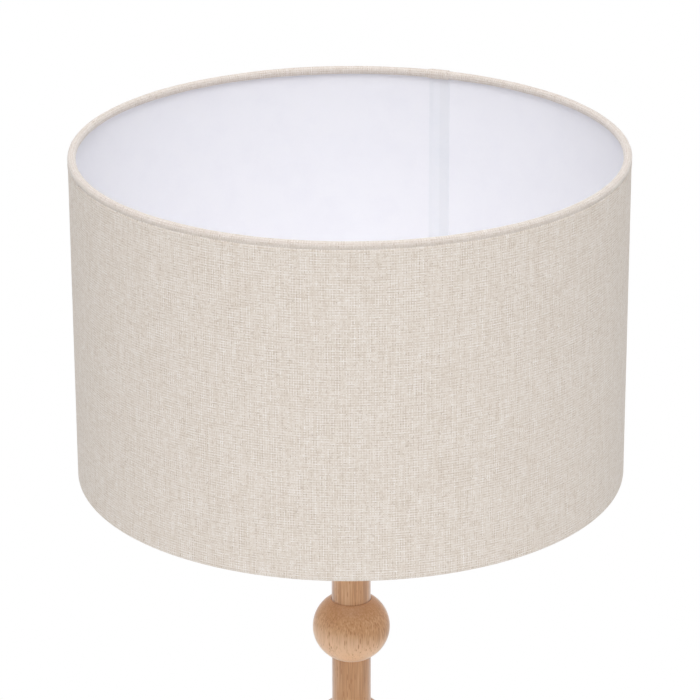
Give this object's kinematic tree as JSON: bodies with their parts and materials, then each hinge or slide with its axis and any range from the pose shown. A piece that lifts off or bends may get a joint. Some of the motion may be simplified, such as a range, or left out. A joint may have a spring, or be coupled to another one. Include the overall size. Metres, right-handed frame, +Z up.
{
  "type": "column table lamp",
  "caption": "Table lamp with a fabric drum shade on a column of turned wood balls and necks, a round weighted foot and a push-bar lampholder.",
  "frame": {"origin": "on the table surface, on the column's axis, under the middle of the foot", "axes": "+Z up along the column; the user faces the lamp from -Y; the cord inlet and the shade's seam are towards +Y"},
  "size_m": [0.3506, 0.3506, 0.6005],
  "materials": {
    "turned_wood": "clear matt lacquer",
    "base_felt": "pressed felt",
    "ballast_iron": "as cast, painted",
    "plated_steel": "zinc plated",
    "brass": "satin",
    "bush_plastic": "moulded",
    "holder_plastic": "moulded",
    "core_insulator": "glazed insulating core",
    "white_coated_steel": "powder coated",
    "shade_backing": "smooth satin sheet",
    "shade_cloth": "plain weave with slubs",
    "hem_tape": "plain weave tape, rolled",
    "bulb_metal": "rolled",
    "bulb_black": "glossy",
    "bulb_white": "moulded",
    "opal_glass": "opal"
  },
  "bodies": {
    "stand": {"foot_pad": "base_felt", "foot": "turned_wood", "ballast_ring": "ballast_iron", "ballast_screws": "plated_steel", "foot_washer": "plated_steel", "foot_nut": "plated_steel", "cord_bush": "bush_plastic", "foot_ball": "turned_wood", "ball_lower": "turned_wood", "ball_middle": "turned_wood", "ball_upper": "turned_wood", "neck_lowest": "turned_wood", "neck_lower": "turned_wood", "neck_middle": "turned_wood", "neck_upper": "turned_wood", "threaded_rod": "plated_steel", "column_cap": "brass", "lock_nut": "plated_steel", "holder_cap": "holder_plastic", "holder_housing": "holder_plastic", "holder_core": "core_insulator", "terminal_screws": "plated_steel", "holder_skirt": "holder_plastic", "screw_shell": "brass", "centre_contact": "brass"},
    "shade": {"fitter_ring": "white_coated_steel", "fitter_arms": "white_coated_steel", "bottom_wire": "white_coated_steel", "top_wire": "white_coated_steel", "shade_liner": "shade_backing", "shade_fabric": "shade_cloth", "shade_lap": "shade_backing", "top_hem": "hem_tape", "bottom_hem": "hem_tape"},
    "clamp_ring": {"clamp_ring": "holder_plastic"},
    "switch_bar": {"switch_bar": "holder_plastic", "switch_tips": "holder_plastic"},
    "bulb": {"bulb_tip": "bulb_metal", "bulb_insulator": "bulb_black", "bulb_shell": "bulb_metal", "bulb_body": "bulb_white", "bulb_board": "bulb_metal", "bulb_globe": "opal_glass"}
  },
  "joints": [
    {"name": "shade_turn", "type": "hinge", "parent": "stand", "child": "shade", "pos_m": [0, 0, 0.4214], "axis": [0, 0, 1], "continuous": true},
    {"name": "clamp_turn", "type": "hinge", "parent": "stand", "child": "clamp_ring", "pos_m": [0, 0, 0.4253], "axis": [0, 0, 1], "range_deg": [0, 1170]},
    {"name": "bulb_turn", "type": "hinge", "parent": "stand", "child": "bulb", "pos_m": [0, 0, 0.44], "axis": [0, 0, 1], "range_deg": [0, 1350]},
    {"name": "switch_slide", "type": "slide", "parent": "stand", "child": "switch_bar", "axis": [1, 0, 0], "range_m": [0, 0.006]}
  ]
}
